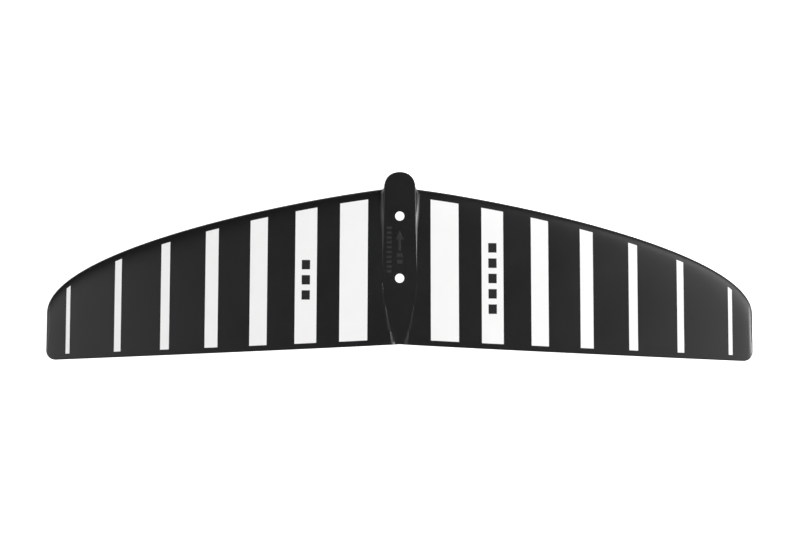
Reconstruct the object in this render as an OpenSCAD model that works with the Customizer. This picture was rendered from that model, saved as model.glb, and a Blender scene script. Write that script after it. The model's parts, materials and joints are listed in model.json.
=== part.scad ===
// Hydrofoil stabiliser: a moulded, foam-cored wing that bolts under the tail of a fuselage.
// The origin is on the mating face, midway between the two bolts. +Y is forward, +X is to the
// right, and +Z points out of the mating face.

/* [Planform] */
// Span from tip to tip
span = 410; // [330:1:500]
// Leading edge ahead of the bolts' midpoint, at the root
root_lead = 34.2; // [31:0.1:44]
// Trailing edge behind the bolts' midpoint, at the root
root_trail = 56.3; // [46:0.1:70]
// Leading edge behind the bolts' midpoint, at the tip
tip_lead = 38.7; // [34:0.1:46]
// How far the trailing edge falls back from root to tip
trail_sweep = 9.7; // [6:0.1:16]
// How much the leading edge bulges forward of a plain parabola, as a share
lead_bow = 0.062; // [0:0.001:0.1]
// Radius of the rear corner of the tip
tip_corner = 6; // [3:0.5:8]
// How much the chord lines fan out towards the trailing edge, as a slope at the tip
fan = 0.0145; // [0:0.0005:0.02]

/* [Section] */
// Greatest thickness as a share of the chord
thickness_share = 0.082; // [0.068:0.001:0.1]
// Depth of the downward camber as a share of the chord
camber_share = 0.015; // [0.005:0.001:0.02]
// Thickness of the blunt trailing edge
trail_edge = 0.8; // [0.5:0.1:1.2]
// Skin thickness as a share of the local section thickness
skin_share = 0.1; // [0.09:0.005:0.11]
// Angle between the chord line and the mating face
incidence = 3; // [2.6:0.1:3.4]
// Height of the middle of the trailing edge over the mating face, at the root
trail_height = 0.15; // [0:0.05:0.2]
// How far the tips bend down below the root
droop = 7; // [3:0.1:12]
// How late along the span the droop sets in
droop_power = 2.3; // [1.8:0.1:3]
// Length of the rounding at the tip's end
tip_round = 2.4; // [2:0.1:5]

/* [Mounting pad] */
// Half width of the mating face at the leading edge
pad_half_front = 9.2; // [8.2:0.1:10]
// Half width of the mating face where the wing comes level with it
pad_half_rear = 10; // [8.2:0.1:10.8]
// Where the wing comes level with the mating face, behind the bolts' midpoint
pad_rear = 20.5; // [20:0.1:24]
// How far the pad's foot stands out past the mating face at the leading edge
foot_front = 2.6; // [1:0.1:3]
// How far the pad's foot stands out past the mating face at its rear end
foot_rear = 1.2; // [0.4:0.05:1.6]
// How far the nose reaches ahead of the leading edge
nose_length = 10.2; // [7:0.1:14]
// Half width of the recess behind the mating face, at the trailing edge
tail_half = 2.35; // [1.5:0.05:4]
// Depth of the pad's rear end let into the upper skin
inlay = 0.35; // [0.3:0.05:0.4]
// Where the pad's inlaid end lies, behind the bolts' midpoint
inlay_rear = 25; // [24:0.5:28]

/* [Bolts] */
// Distance between the two bolts, along the chord
bolt_pitch = 36; // [30:0.5:38]
// Diameter of the bolt holes
bolt_hole = 5.3; // [5:0.1:5.6]
// Chamfer round the mouth of each hole
mouth_chamfer = 0.3; // [0.2:0.05:0.6]
// Outer diameter of the bolt sleeves
sleeve_diameter = 8; // [7.8:0.1:8.6]
// Diameter of the countersink for the bolt head
head_diameter = 10.4; // [10:0.1:10.8]
// Diameter of the sleeve's flange round the countersink
flange_diameter = 12; // [11.6:0.1:12.6]
// Depth of the sleeve's upper end below the mating face
sleeve_depth = 0.6; // [0.5:0.05:0.8]
// Depth of the sleeve's flange below the far face
flange_recess = 0.15; // [0.05:0.05:0.4]
// Space between the flange and the main spar
spar_clearance = 1.5; // [0.5:0.1:2]

/* [Stripes] */
// Where the middle of each stripe lies, as a share of the half span
stripe_at = [0.1277, 0.2624, 0.396, 0.5287, 0.6603, 0.7945, 0.9365]; // [0:0.001:1]
// Width of each stripe, as a share of the half span
stripe_width = [0.079, 0.0615, 0.049, 0.0366, 0.0249, 0.0188, 0.0112]; // [0:0.0001:0.1]
// Distance from the leading edge to the stripes, at the root
stripe_front_gap = 4.9; // [4:0.1:6]
// How much that distance shrinks towards the tip
stripe_gap_fall = 1.4; // [0:0.1:1.6]
// Distance from the trailing edge to the stripes
stripe_rear_gap = 3.35; // [2.5:0.05:4.5]
// Thickness of the stripe film
film = 0.15; // [0.1:0.01:0.3]
// Width of the printed dashes as a share of their stripe
dash_share = 0.38; // [0.2:0.01:0.6]

/* [Hidden] */
$fn = 64;

half_span = span / 2 - fan * (root_trail + trail_sweep - tip_corner - tip_lead);
hub_half = 13;
stripes = len(stripe_at);
marked = 1;
tip_steps = 6;
cavity_step = 3;

// Chord lines, numbered from the leading edge to the trailing edge in three zones
spar_half = bolt_pitch / 2 - flange_diameter / 2 - spar_clearance;
middle_front = lead_y(0) - front_gap(0);
middle_length = chord(0) - front_gap(0) - rear_gap(0);
spar_front = (middle_front - spar_half) / middle_length;
spar_rear = (middle_front + spar_half) / middle_length;
front_lines = [0, 0.08, 0.35];
middle_lines = [0, spar_front / 2, spar_front, (spar_front + spar_rear) / 2, spar_rear,
    mix(spar_rear, 0.9, 0.25), mix(spar_rear, 0.9, 0.5), mix(spar_rear, 0.9, 0.75), 0.9];
rear_lines = [0, 0.5, 1];
strip_line = 2;
stripe_start_line = 3;
spar_front_line = 5;
spar_rear_line = 7;
rear_strip_line = 10;
cavity_end_line = 11;
stripe_end_line = 12;
last_line = 14;

function mix(a, b, t) = a + (b - a) * min(max(t, 0), 1);

// Planform, at a signed distance s from the centre
function share(s) = min(abs(s) / half_span, 1);
function lead_y(s) =
    -tip_lead + (root_lead + tip_lead) * (1 + lead_bow * sin(90 * pow(share(s), 0.6)))
    * sqrt(1 - share(s));
function into_corner(s) = max(0, abs(s) - half_span + tip_corner) / tip_corner;
function trail_y(s) =
    -root_trail - trail_sweep * pow(share(s), 0.92)
    + tip_corner * (1 - sqrt(1 - pow(into_corner(s), 2)));
function chord(s) = lead_y(s) - trail_y(s);
function lead_slope(s) = (lead_y(abs(s) - 0.5) - lead_y(abs(s) + 0.5));
function front_gap(s) =
    min(0.3 * chord(s), (stripe_front_gap - stripe_gap_fall * share(s))
        * sqrt(1 + pow(lead_slope(s * 0.98), 2)));
function rear_gap(s) = min(0.2 * chord(s), stripe_rear_gap);
function line_y(s, k) =
    k < len(front_lines) ? lead_y(s) - front_gap(s) * front_lines[k]
    : k < len(front_lines) + len(middle_lines)
    ? lead_y(s) - front_gap(s)
        - (chord(s) - front_gap(s) - rear_gap(s)) * middle_lines[k - len(front_lines)]
    : trail_y(s) + rear_gap(s) * (1 - rear_lines[k - len(front_lines) - len(middle_lines)]);
function line_x(s, y) = s + sign(s) * fan * sqrt(share(s)) * (lead_y(s) - y);

// Section, at a share v of the chord from the leading edge
function spread(v) =
    5 * (0.2969 * sqrt(v) - 0.126 * v - 0.3516 * v * v + 0.2843 * pow(v, 3) - 0.1015 * pow(v, 4));
function into_tip(s) = max(0, abs(s) - half_span + tip_round) / tip_round;
function tip_cap(s) = 0.35 + 0.65 * sqrt(1 - pow(into_tip(s), 2));
function section_thickness(s) = thickness_share * chord(s) * tip_cap(s);
function half_thickness(s, v) =
    section_thickness(s) * spread(v) + trail_edge / 2 * v * tip_cap(s);
function mean_z(s, v) = -4 * camber_share * chord(s) * v * (1 - v);
function chord_z(s, y) =
    trail_height - droop * pow(share(s), droop_power) - tan(incidence) * (y + root_trail);

// A point on chord line k: level 0 is the parting face, 1 and -1 are the outer faces, and
// anything between is that share of the way from the parting face to the outer face
function inner_level(s, v) =
    max(0.02, 1 - 2 * skin_share * section_thickness(s) / (2 * half_thickness(s, v)));
function point(s, k, side, inside) =
    let (
        y = line_y(s, k),
        v = min(max((lead_y(s) - y) / chord(s), 0), 1),
        level = inside ? inner_level(s, v) : 1
    )
    [line_x(s, y), y, chord_z(s, y) + mean_z(s, v) + side * level * half_thickness(s, v)];
function face_z(y, side) =
    let (v = (lead_y(0) - y) / chord(0))
    chord_z(0, y) + mean_z(0, v) + side * half_thickness(0, v);
function top_z(y) = face_z(y, 1);
function low_z(y) = face_z(y, -1);
function middle_z(y) = face_z(y, 0);

// Stations along the span
function stripe_in(i) = half_span * (stripe_at[i] - stripe_width[i] / 2);
function stripe_out(i) = half_span * (stripe_at[i] + stripe_width[i] / 2);
function dash_in(i) = half_span * (stripe_at[i] - dash_share * stripe_width[i] / 2);
function dash_out(i) = half_span * (stripe_at[i] + dash_share * stripe_width[i] / 2);
function stripe_stations(i) =
    i == marked ? [stripe_in(i), dash_in(i), dash_out(i), stripe_out(i)]
    : i < 4 ? [stripe_in(i), half_span * stripe_at[i], stripe_out(i)]
    : [stripe_in(i), stripe_out(i)];
last_out = stripe_out(stripes - 1);
function tip_station(k) = last_out + (half_span - last_out) * sin(90 * k / tip_steps);
right_stations = concat(
    [hub_half],
    [for (i = [0:stripes - 1]) each stripe_stations(i)],
    [for (i = [0:stripes - 2]) (stripe_out(i) + stripe_in(i + 1)) / 2],
    [for (k = [1:tip_steps]) tip_station(k)]
);
function sorted(list) =
    len(list) <= 1 ? list
    : let (
        pivot = list[floor(len(list) / 2)],
        less = [for (v = list) if (v < pivot) v],
        same = [for (v = list) if (v == pivot) v],
        more = [for (v = list) if (v > pivot) v]
    )
    concat(sorted(less), same, sorted(more));
stations = sorted(concat([for (s = right_stations) -s], [0], right_stations));
cavity_end = tip_station(cavity_step);
core_end = stripe_out(stripes - 2);
function between(low, high) = [for (s = stations) if (s >= low - 0.001 && s <= high + 0.001) s];

// A closed solid between two grids of points with the same rows and columns
function flat(grid) = [for (row = grid) each row];
function triangles(a, b, c, d) = [[a, b, c], [a, c, d]];
function is_real(points, face) =
    norm(cross(points[face[1]] - points[face[0]], points[face[2]] - points[face[0]])) > 1e-7;
module slab(top, bottom) {
    rows = len(top);
    columns = len(top[0]);
    points = concat(flat(top), flat(bottom));
    under = rows * columns;
    function at(r, c) = r * columns + c;
    faces = concat(
        [for (r = [0:rows - 2], c = [0:columns - 2])
            each [[at(r, c), at(r + 1, c), at(r + 1, c + 1)],
                [at(r, c), at(r + 1, c + 1), at(r, c + 1)]]],
        [for (r = [0:rows - 2], c = [0:columns - 2])
            each [[under + at(r, c), under + at(r + 1, c + 1), under + at(r + 1, c)],
                [under + at(r, c), under + at(r, c + 1), under + at(r + 1, c + 1)]]],
        [for (r = [0:rows - 2])
            each triangles(at(r, 0), under + at(r, 0), under + at(r + 1, 0), at(r + 1, 0))],
        [for (r = [0:rows - 2])
            each triangles(at(r + 1, columns - 1), under + at(r + 1, columns - 1),
                under + at(r, columns - 1), at(r, columns - 1))],
        [for (c = [0:columns - 2])
            each triangles(at(0, c + 1), under + at(0, c + 1), under + at(0, c), at(0, c))],
        [for (c = [0:columns - 2])
            each triangles(at(rows - 1, c), under + at(rows - 1, c),
                under + at(rows - 1, c + 1), at(rows - 1, c + 1))]
    );
    polyhedron(points, [for (face = faces) if (is_real(points, face)) face]);
}

// A piece that fills the space between the skins
module core(low, high, first, last) {
    rows = between(low, high);
    slab([for (s = rows) [for (k = [first:last]) point(s, k, 1, true)]],
        [for (s = rows) [for (k = [first:last]) point(s, k, -1, true)]]);
}

// A skin: side 1 is the upper one, side -1 the lower one. Rows and columns that bound the
// hollow come twice, once on the parting face and once on the skin's inner face.
skin_rows = concat(
    [for (s = stations) if (s <= -cavity_end + 0.001) [s, false]],
    [for (s = between(-cavity_end, cavity_end)) [s, true]],
    [for (s = stations) if (s >= cavity_end - 0.001) [s, false]]
);
skin_columns = concat(
    [for (k = [0:strip_line]) [k, false]],
    [for (k = [strip_line:cavity_end_line]) [k, true]],
    [for (k = [cavity_end_line:last_line]) [k, false]]
);
function outer_face(side) =
    [for (row = skin_rows) [for (column = skin_columns) point(row[0], column[0], side, false)]];
function inner_face(side) =
    [for (row = skin_rows) [for (column = skin_columns)
        row[1] && column[1] ? point(row[0], column[0], side, true)
        : point(row[0], column[0], 0, false)]];
module skin(side) {
    if (side > 0) slab(outer_face(1), inner_face(1));
    else slab(inner_face(-1), outer_face(-1));
}

// Everything that lies under the pad, as one solid
module wing_bay() {
    rows = between(-hub_half, hub_half);
    slab([for (s = rows) [for (k = [0:last_line]) point(s, k, 1, false)]],
        [for (s = rows) [for (k = [0:last_line]) point(s, k, -1, false)]]);
}

// The mating face lies at z = 0. Ahead of pad_rear it is the top of a raised pad with a nose,
// and behind it it is the floor of a shallow recess that tapers to the trailing edge.
nose_start = 0.8;
nose_y = lead_y(0) - nose_start + nose_length;
root_y = nose_y - nose_length;
nose_power = 2.3;
nose_tip_half = 0.4;
nose_foot = -1.6;
nose_foot_length = 5;
face_rim = 0.35;
thinnest_wall = 0.02;
chin_low = -2.8;
chin_cover = 0.4;
chin_start = 8;
chin_arc = 6;
tail_power = 1.25;
function nose_half(y) =
    pad_half_front * pow(1 - pow(min((y - root_y) / nose_length, 1), nose_power), 1 / nose_power);
function face_share(y) = (root_y - y) / (root_y + pad_rear);
function tail_share(y) = (-pad_rear - y) / (root_trail - pad_rear);
function pad_half(y) =
    y > root_y ? max(nose_half(y), nose_tip_half)
    : y > -pad_rear ? mix(pad_half_front, pad_half_rear, face_share(y))
    : mix(pad_half_rear, tail_half, pow(tail_share(y), tail_power));
function flare(y) = min(max((root_y + 1 - y) / 3, 0), 1);
function foot_out(y) = flare(y) * mix(foot_front, foot_rear, face_share(y));
function nose_bend(y) = sqrt(max(1 - pow((y - chin_start) / (nose_y - chin_start), 2), 0));
function chin_z(y) = mix(chin_low, low_z(chin_start) + chin_cover, nose_bend(y));
function foot_z(y) =
    y > root_y - 0.2 ? mix(top_z(root_y - 0.3), nose_foot, (y - root_y) / nose_foot_length)
    : min(top_z(y), -thinnest_wall);
function pad_under(y) = y > chin_start ? chin_z(y) : mix(middle_z(y), chin_z(chin_start), y / chin_start);
function rim_in(y) = min(face_rim, pad_half(y) / 3, -foot_z(y) / 3);
function pad_right(y) =
    let (w = pad_half(y), foot = w + foot_out(y), z = foot_z(y), low = pad_under(y), rim = rim_in(y))
    concat(
        [[w - rim, 0], [w, -rim], [foot, z]],
        [for (k = [1:chin_arc - 1])
            let (a = 90 * k / chin_arc) [foot * cos(a), z + (low - z) * sin(a)]]
    );
function pad_section(y) =
    let (right = pad_right(y), n = len(right))
    concat(
        [for (p = right) [p[0], y, p[1]]],
        [[0, y, pad_under(y)]],
        [for (k = [n - 1:-1:0]) [-right[k][0], y, right[k][1]]]
    );
nose_steps = 7;
pad_ys = concat(
    [for (k = [0:nose_steps - 1]) root_y + nose_length * cos(90 * k / nose_steps)],
    [root_y + 0.5, root_y - 0.5, root_y - 2, 28, 24, 20, 16, 12, chin_start, 4, 0, -7, -14],
    [-pad_rear]
);

// A closed solid through sections with the same number of points, going backwards
module loft(sections) {
    n = len(sections[0]);
    rows = len(sections);
    polyhedron(flat(sections), concat(
        [[for (i = [n - 1:-1:0]) i]],
        [[for (i = [0:n - 1]) (rows - 1) * n + i]],
        [for (r = [0:rows - 2], i = [0:n - 1])
            each [[r * n + i, (r + 1) * n + (i + 1) % n, (r + 1) * n + i],
                [r * n + i, r * n + (i + 1) % n, (r + 1) * n + (i + 1) % n]]]
    ));
}

// The pad's rear end, let into the skin, and the open space over the recess behind it
recess_steps = 10;
wall_slope = 2.6;
open_height = 2;
inlay_front = 8;
function steps_back(front, rear) =
    [for (k = [0:recess_steps]) mix(-front, -rear, k / recess_steps)];
function box_section(y, low, high, slope) =
    let (w = pad_half(y), top = w + slope * (high - max(low, 0)))
    [[top, y, high], [w, y, low], [-w, y, low], [-top, y, high]];
module inlaid_end() {
    loft([for (y = steps_back(inlay_front, inlay_rear)) box_section(y, -inlay, 0, 0)]);
}
module inlay_space() {
    loft([for (y = steps_back(inlay_front, inlay_rear)) box_section(y, -inlay, open_height, 0)]);
}
module recess_space() {
    loft([for (y = steps_back(pad_rear, root_trail + 1)) box_section(y, 0, open_height, wall_slope)]);
}

// A bolt sleeve, with its bore along Z and its flange at the lower skin
head_rim = 0.3;
flange_rim = 0.8;
cut_past = 5;
function flange_z(y) =
    flange_recess
    + max([for (k = [-1:0.5:1]) low_z(y + k * flange_diameter / 2)]);
function sleeve_profile(y, inner) =
    let (low = flange_z(y), r = sleeve_diameter / 2, big = flange_diameter / 2,
        head = head_diameter / 2, hole = bolt_hole / 2)
    concat(
        inner ? [] : [[0, cut_past], [hole, cut_past]],
        [[hole, -sleeve_depth], [r, -sleeve_depth],
            [r, low + flange_rim + big - r], [big, low + flange_rim], [big, low]],
        inner ? [[head, low], [head, low + head_rim], [hole, low + head_rim + head - hole]]
            : [[big, low - cut_past], [0, low - cut_past]]
    );
module sleeve(y) {
    translate([0, y, 0]) rotate_extrude($fn = 64) polygon(sleeve_profile(y, true));
}
module sleeve_space(y) {
    translate([0, y, 0]) rotate_extrude($fn = 64) polygon(sleeve_profile(y, false));
}
module mouth(y) {
    translate([0, y, -2 * mouth_chamfer])
        cylinder(d1 = bolt_hole - 2 * mouth_chamfer, d2 = bolt_hole + 4 * mouth_chamfer,
            h = 3 * mouth_chamfer);
}
front_bolt = bolt_pitch / 2;
rear_bolt = -bolt_pitch / 2;

// A printed stripe lies on the upper skin between two stations
module stripe(side, i) {
    rows = side > 0 ? between(stripe_in(i), stripe_out(i)) : between(-stripe_out(i), -stripe_in(i));
    face = [for (s = rows) [for (k = [stripe_start_line:stripe_end_line]) point(s, k, 1, false)]];
    slab([for (row = face) [for (p = row) p + [0, 0, film]]], face);
}

// A short dash printed over the marked stripe, within the strip behind chord line k
module dash(side, k) {
    rows = side > 0 ? between(dash_in(marked), dash_out(marked))
        : between(-dash_out(marked), -dash_in(marked));
    face = [for (s = rows) [for (t = [0.2, 0.8])
        mix(point(s, k, 1, false), point(s, k + 1, 1, false), t) + [0, 0, film]]];
    slab([for (row = face) [for (p = row) p + [0, 0, film]]], face);
}

module upper_skin() {
    color("#1d1e20")
    difference() {
        skin(1);
        sleeve_space(front_bolt);
        sleeve_space(rear_bolt);
        inlay_space();
        recess_space();
    }
}
module lower_skin() {
    color("#1d1e20")
    difference() {
        skin(-1);
        sleeve_space(front_bolt);
        sleeve_space(rear_bolt);
        recess_space();
    }
}
module main_spar() {
    color("#26282b") core(-core_end, core_end, spar_front_line, spar_rear_line);
}
module hub_block_front() {
    color("#3a3d36")
    difference() {
        core(-hub_half, hub_half, stripe_start_line, spar_front_line);
        sleeve_space(front_bolt);
    }
}
module hub_block_rear() {
    color("#3a3d36")
    difference() {
        core(-hub_half, hub_half, spar_rear_line, rear_strip_line);
        sleeve_space(rear_bolt);
        inlay_space();
    }
}
module core_front_left() {
    color("#d8c9a0") core(-core_end, -hub_half, stripe_start_line, spar_front_line);
}
module core_front_right() {
    color("#d8c9a0") core(hub_half, core_end, stripe_start_line, spar_front_line);
}
module core_rear_left() {
    color("#d8c9a0") core(-core_end, -hub_half, spar_rear_line, rear_strip_line);
}
module core_rear_right() {
    color("#d8c9a0") core(hub_half, core_end, spar_rear_line, rear_strip_line);
}
module leading_edge_strip_left() {
    color("#26282b") core(-core_end, 0, strip_line, stripe_start_line);
}
module leading_edge_strip_right() {
    color("#26282b") core(0, core_end, strip_line, stripe_start_line);
}
module trailing_edge_strip_left() {
    color("#26282b") core(-core_end, 0, rear_strip_line, cavity_end_line);
}
module trailing_edge_strip_right() {
    color("#26282b") core(0, core_end, rear_strip_line, cavity_end_line);
}
module tip_block_left() {
    color("#3a3d36") core(-cavity_end, -core_end, strip_line, cavity_end_line);
}
module tip_block_right() {
    color("#3a3d36") core(core_end, cavity_end, strip_line, cavity_end_line);
}
module mounting_pad() {
    color("#1d1e20")
    difference() {
        union() {
            difference() {
                loft([for (y = pad_ys) pad_section(y)]);
                wing_bay();
            }
            inlaid_end();
        }
        sleeve_space(front_bolt);
        sleeve_space(rear_bolt);
        mouth(front_bolt);
        mouth(rear_bolt);
    }
}
module bolt_sleeve_front() {
    color("#8d9094") sleeve(front_bolt);
}
module bolt_sleeve_rear() {
    color("#8d9094") sleeve(rear_bolt);
}
module stripe_left_1() {
    color("#f0f0f0") stripe(-1, 0);
}
module stripe_left_2() {
    color("#f0f0f0") stripe(-1, 1);
}
module stripe_left_3() {
    color("#f0f0f0") stripe(-1, 2);
}
module stripe_left_4() {
    color("#f0f0f0") stripe(-1, 3);
}
module stripe_left_5() {
    color("#f0f0f0") stripe(-1, 4);
}
module stripe_left_6() {
    color("#f0f0f0") stripe(-1, 5);
}
module stripe_left_7() {
    color("#f0f0f0") stripe(-1, 6);
}
module stripe_right_1() {
    color("#f0f0f0") stripe(1, 0);
}
module stripe_right_2() {
    color("#f0f0f0") stripe(1, 1);
}
module stripe_right_3() {
    color("#f0f0f0") stripe(1, 2);
}
module stripe_right_4() {
    color("#f0f0f0") stripe(1, 3);
}
module stripe_right_5() {
    color("#f0f0f0") stripe(1, 4);
}
module stripe_right_6() {
    color("#f0f0f0") stripe(1, 5);
}
module stripe_right_7() {
    color("#f0f0f0") stripe(1, 6);
}
module dashes_left() {
    color("#1d1e20") for (k = [6:8]) dash(-1, k);
}
module dashes_right() {
    color("#1d1e20") for (k = [5:9]) dash(1, k);
}

upper_skin();
lower_skin();
main_spar();
hub_block_front();
hub_block_rear();
core_front_left();
core_front_right();
core_rear_left();
core_rear_right();
leading_edge_strip_left();
leading_edge_strip_right();
trailing_edge_strip_left();
trailing_edge_strip_right();
tip_block_left();
tip_block_right();
mounting_pad();
bolt_sleeve_front();
bolt_sleeve_rear();
stripe_left_1();
stripe_left_2();
stripe_left_3();
stripe_left_4();
stripe_left_5();
stripe_left_6();
stripe_left_7();
stripe_right_1();
stripe_right_2();
stripe_right_3();
stripe_right_4();
stripe_right_5();
stripe_right_6();
stripe_right_7();
dashes_left();
dashes_right();
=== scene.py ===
"""Builds the looks of a moulded hydrofoil stabiliser round its fixed frame."""
import json
import math

import bmesh
import bpy
import numpy as np
from bpy.props import FloatProperty, FloatVectorProperty, IntProperty, PointerProperty
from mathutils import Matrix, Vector


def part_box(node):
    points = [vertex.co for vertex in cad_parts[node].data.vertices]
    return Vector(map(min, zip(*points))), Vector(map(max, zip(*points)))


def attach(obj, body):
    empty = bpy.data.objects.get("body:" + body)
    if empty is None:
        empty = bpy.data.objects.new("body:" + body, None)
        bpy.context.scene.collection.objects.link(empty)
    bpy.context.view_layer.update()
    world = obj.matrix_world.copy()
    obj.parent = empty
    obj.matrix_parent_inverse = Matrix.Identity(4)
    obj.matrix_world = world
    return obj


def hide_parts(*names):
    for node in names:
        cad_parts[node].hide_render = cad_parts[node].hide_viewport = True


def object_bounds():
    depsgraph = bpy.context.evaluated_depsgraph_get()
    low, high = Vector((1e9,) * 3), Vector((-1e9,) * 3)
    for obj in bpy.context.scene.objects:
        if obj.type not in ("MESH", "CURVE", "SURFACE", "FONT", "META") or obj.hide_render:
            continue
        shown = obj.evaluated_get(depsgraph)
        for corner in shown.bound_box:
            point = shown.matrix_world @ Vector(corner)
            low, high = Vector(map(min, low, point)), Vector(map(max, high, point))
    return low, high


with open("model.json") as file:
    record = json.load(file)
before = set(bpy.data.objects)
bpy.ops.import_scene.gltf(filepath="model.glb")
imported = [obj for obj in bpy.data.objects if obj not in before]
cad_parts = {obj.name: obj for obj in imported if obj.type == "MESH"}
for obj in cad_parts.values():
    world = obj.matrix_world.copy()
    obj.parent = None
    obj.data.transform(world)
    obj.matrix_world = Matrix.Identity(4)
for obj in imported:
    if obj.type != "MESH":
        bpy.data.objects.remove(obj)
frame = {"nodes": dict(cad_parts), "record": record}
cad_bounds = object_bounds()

bl_info = {
    "name": "Hydrofoil stabiliser",
    "version": (1, 0, 0),
    "blender": (4, 5, 0),
    "location": "View3D > Sidebar > Stabiliser",
    "description": "Shells, mounting pad, sleeves and stripes of a moulded hydrofoil tail wing",
    "category": "Object",
}

MM = 0.001
SKIN_LOW, SKIN_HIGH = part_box("upper_skin")
INLAY_REAR = -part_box("mounting_pad")[0].y
STRIPE_COUNT = 7
SPAN_STEPS = 150
CHORD_STEPS = 64
TURN_STEPS = 96
STRIPE_STEPS = (12, 72)
DASH_STEPS = 4
NOSE_STEPS, FLARE_STEPS, WALL_STATIONS = 22, 7, 44
RIM_STEPS, HOLLOW_STEPS, CHIN_STEPS = 6, 9, 8
TROUGH_STEPS = 40
WELD = 0.002 * MM
FINE_WELD = 0.0001 * MM
OPEN_HEIGHT = 2 * MM
# The side wall's foot starts ahead of the wing and is full some way behind that
FLARE_START, FLARE_LENGTH = MM, 3 * MM
# The stripes' front gap: step of the slope, share that stays inside the tip, greatest share
SLOPE_STEP, INSIDE_SHARE, MOST_GAP = 0.5 * MM, 0.98, 0.3
# Half thickness of the section over the chord: the square root's factor, then the powers'
SECTION = (0.2969, -0.126, -0.3516, 0.2843, -0.1015)
# Each soft box: turn from +X and tilt from overhead in degrees, and its power's setting
SOFT_BOXES = {
    "right_high_box": (0, 26, "right_high"),
    "right_middle_box": (0, 38, "right_middle"),
    "right_low_box": (0, 54, "right_low"),
    "front_right_box": (40, 38, "front_right"),
    "left_high_box": (180, 26, "left_high"),
    "left_low_box": (180, 54, "left_low"),
    "rear_left_box": (-140, 26, "rear_left"),
}


# ---------------------------------------------------------------- sizes and colours


def length(name, description, default, low=0.0, high=1.0):
    """A size in metres that a user can change."""
    return FloatProperty(name=name, description=description, default=default, min=low,
                         soft_max=high, precision=5, unit="LENGTH", subtype="DISTANCE")


def ratio(name, description, default, low=0.0, high=1.0):
    """A plain share or power."""
    return FloatProperty(name=name, description=description, default=default, min=low,
                         soft_max=high, precision=4)


def power(name, watts):
    return FloatProperty(name=name, description="Power of the soft box", default=watts,
                         min=0.0, unit="POWER")


def paint(name, description, default):
    """A linear colour."""
    return FloatVectorProperty(name=name, description=description, default=default,
                               size=3, min=0.0, max=1.0, subtype="COLOR")


class WingShape(bpy.types.PropertyGroup):
    """The planform and section of the wing."""

    span: length("Span", "From tip to tip", SKIN_HIGH.x - SKIN_LOW.x)
    root_lead: length("Root lead", "Leading edge ahead of the bolts' midpoint", 34.2 * MM)
    root_trail: length("Root trail", "Trailing edge behind the bolts' midpoint", 56.3 * MM)
    tip_lead: length("Tip lead", "Leading edge behind the midpoint at the tip", 38.7 * MM)
    trail_sweep: length("Trail sweep", "How far the trailing edge falls back", 9.7 * MM)
    lead_bow: ratio("Lead bow", "Fullness of the leading edge", 0.062)
    bow_power: ratio("Bow power", "How far out that fullness lies", 0.6)
    sweep_power: ratio("Sweep power", "How straight the trailing edge is", 0.92)
    tip_corner: length("Tip corner", "Radius of the rear corner of the tip", 6 * MM)
    fan: ratio("Fan", "Slope of the chord lines at the tip", 0.0145)
    thickness: ratio("Thickness", "Greatest thickness as a share of the chord", 0.082)
    camber: ratio("Camber", "Downward camber as a share of the chord", 0.015)
    trail_edge: length("Trailing edge", "Thickness of the trailing edge", 0.8 * MM)
    skin: ratio("Skin", "Skin thickness as a share of the section", 0.1)
    incidence: ratio("Incidence", "Slope of the chord against the mating face",
                     math.tan(math.radians(3)))
    trail_height: length("Trail height", "Trailing edge over the mating face", 0.15 * MM)
    droop: length("Droop", "How far the tips bend down", 7 * MM)
    droop_power: ratio("Droop power", "How late the droop sets in", 2.3, 1.0, 4.0)
    tip_round: length("Tip round", "Length of the rounding at the tip", 2.4 * MM)


class PadShape(bpy.types.PropertyGroup):
    """The mounting pad, its nose and the recess behind it."""

    half_front: length("Front half width", "Mating face at the leading edge", 9.2 * MM)
    half_rear: length("Rear half width", "Mating face where the wing comes level", 10 * MM)
    rear: length("Rear", "Where the wing comes level, behind the midpoint", 20.5 * MM)
    foot_front: length("Front foot", "Foot past the face at the leading edge", 2.6 * MM)
    foot_rear: length("Rear foot", "Foot past the face at its rear end", 1.2 * MM)
    nose: length("Nose", "Nose ahead of the leading edge", 10.2 * MM)
    nose_start: length("Nose start", "Start of the nose behind the leading edge", 0.8 * MM)
    nose_power: ratio("Nose power", "Fullness of the nose's outline", 2.3, 1.0, 4.0)
    tail_half: length("Tail half width", "Recess at the trailing edge", 2.35 * MM)
    tail_power: ratio("Tail power", "Fullness of the recess's outline", 1.25, 1.0, 2.0)
    wall_run: ratio("Wall run", "Most run of the raised wall over its height", 2.2, 0.5, 4.0)
    wall_slope: ratio("Wall slope", "Run of the recess's walls over their height", 2.6)
    inlay: length("Inlay", "Depth of the pad's rear end in the skin", 0.35 * MM)
    inlay_front: length("Inlay front", "Front of the inlaid end", 8 * MM)
    chin_start: length("Chin start", "Where the underside leaves the wing", 8 * MM)
    chin_depth: length("Chin depth", "Underside of the nose below the face", 2.8 * MM)
    chin_cover: length("Chin cover", "Least cover of the lower shell", 0.4 * MM)
    nose_foot: length("Nose foot", "Foot of the nose's wall below the face", 1.6 * MM)
    foot_length: length("Foot length", "Length over which the foot rises", 5 * MM)
    thin_wall: length("Thin wall", "Least height of the raised wall", 0.02 * MM)
    overlap: length("Overlap", "How far the wall reaches into the shell", 0.04 * MM)
    front_hollow: ratio("Front hollow", "Hollow of the wall at the front", 2.4, 1.0, 4.0)
    rear_hollow: ratio("Rear hollow", "Hollow of the wall at the rear", 1.2, 1.0, 4.0)
    rim: length("Rim", "Radius round the mating face", 0.4 * MM)
    nose_rim: length("Nose rim", "Radius at the front of the nose", 1.5 * MM)


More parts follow.
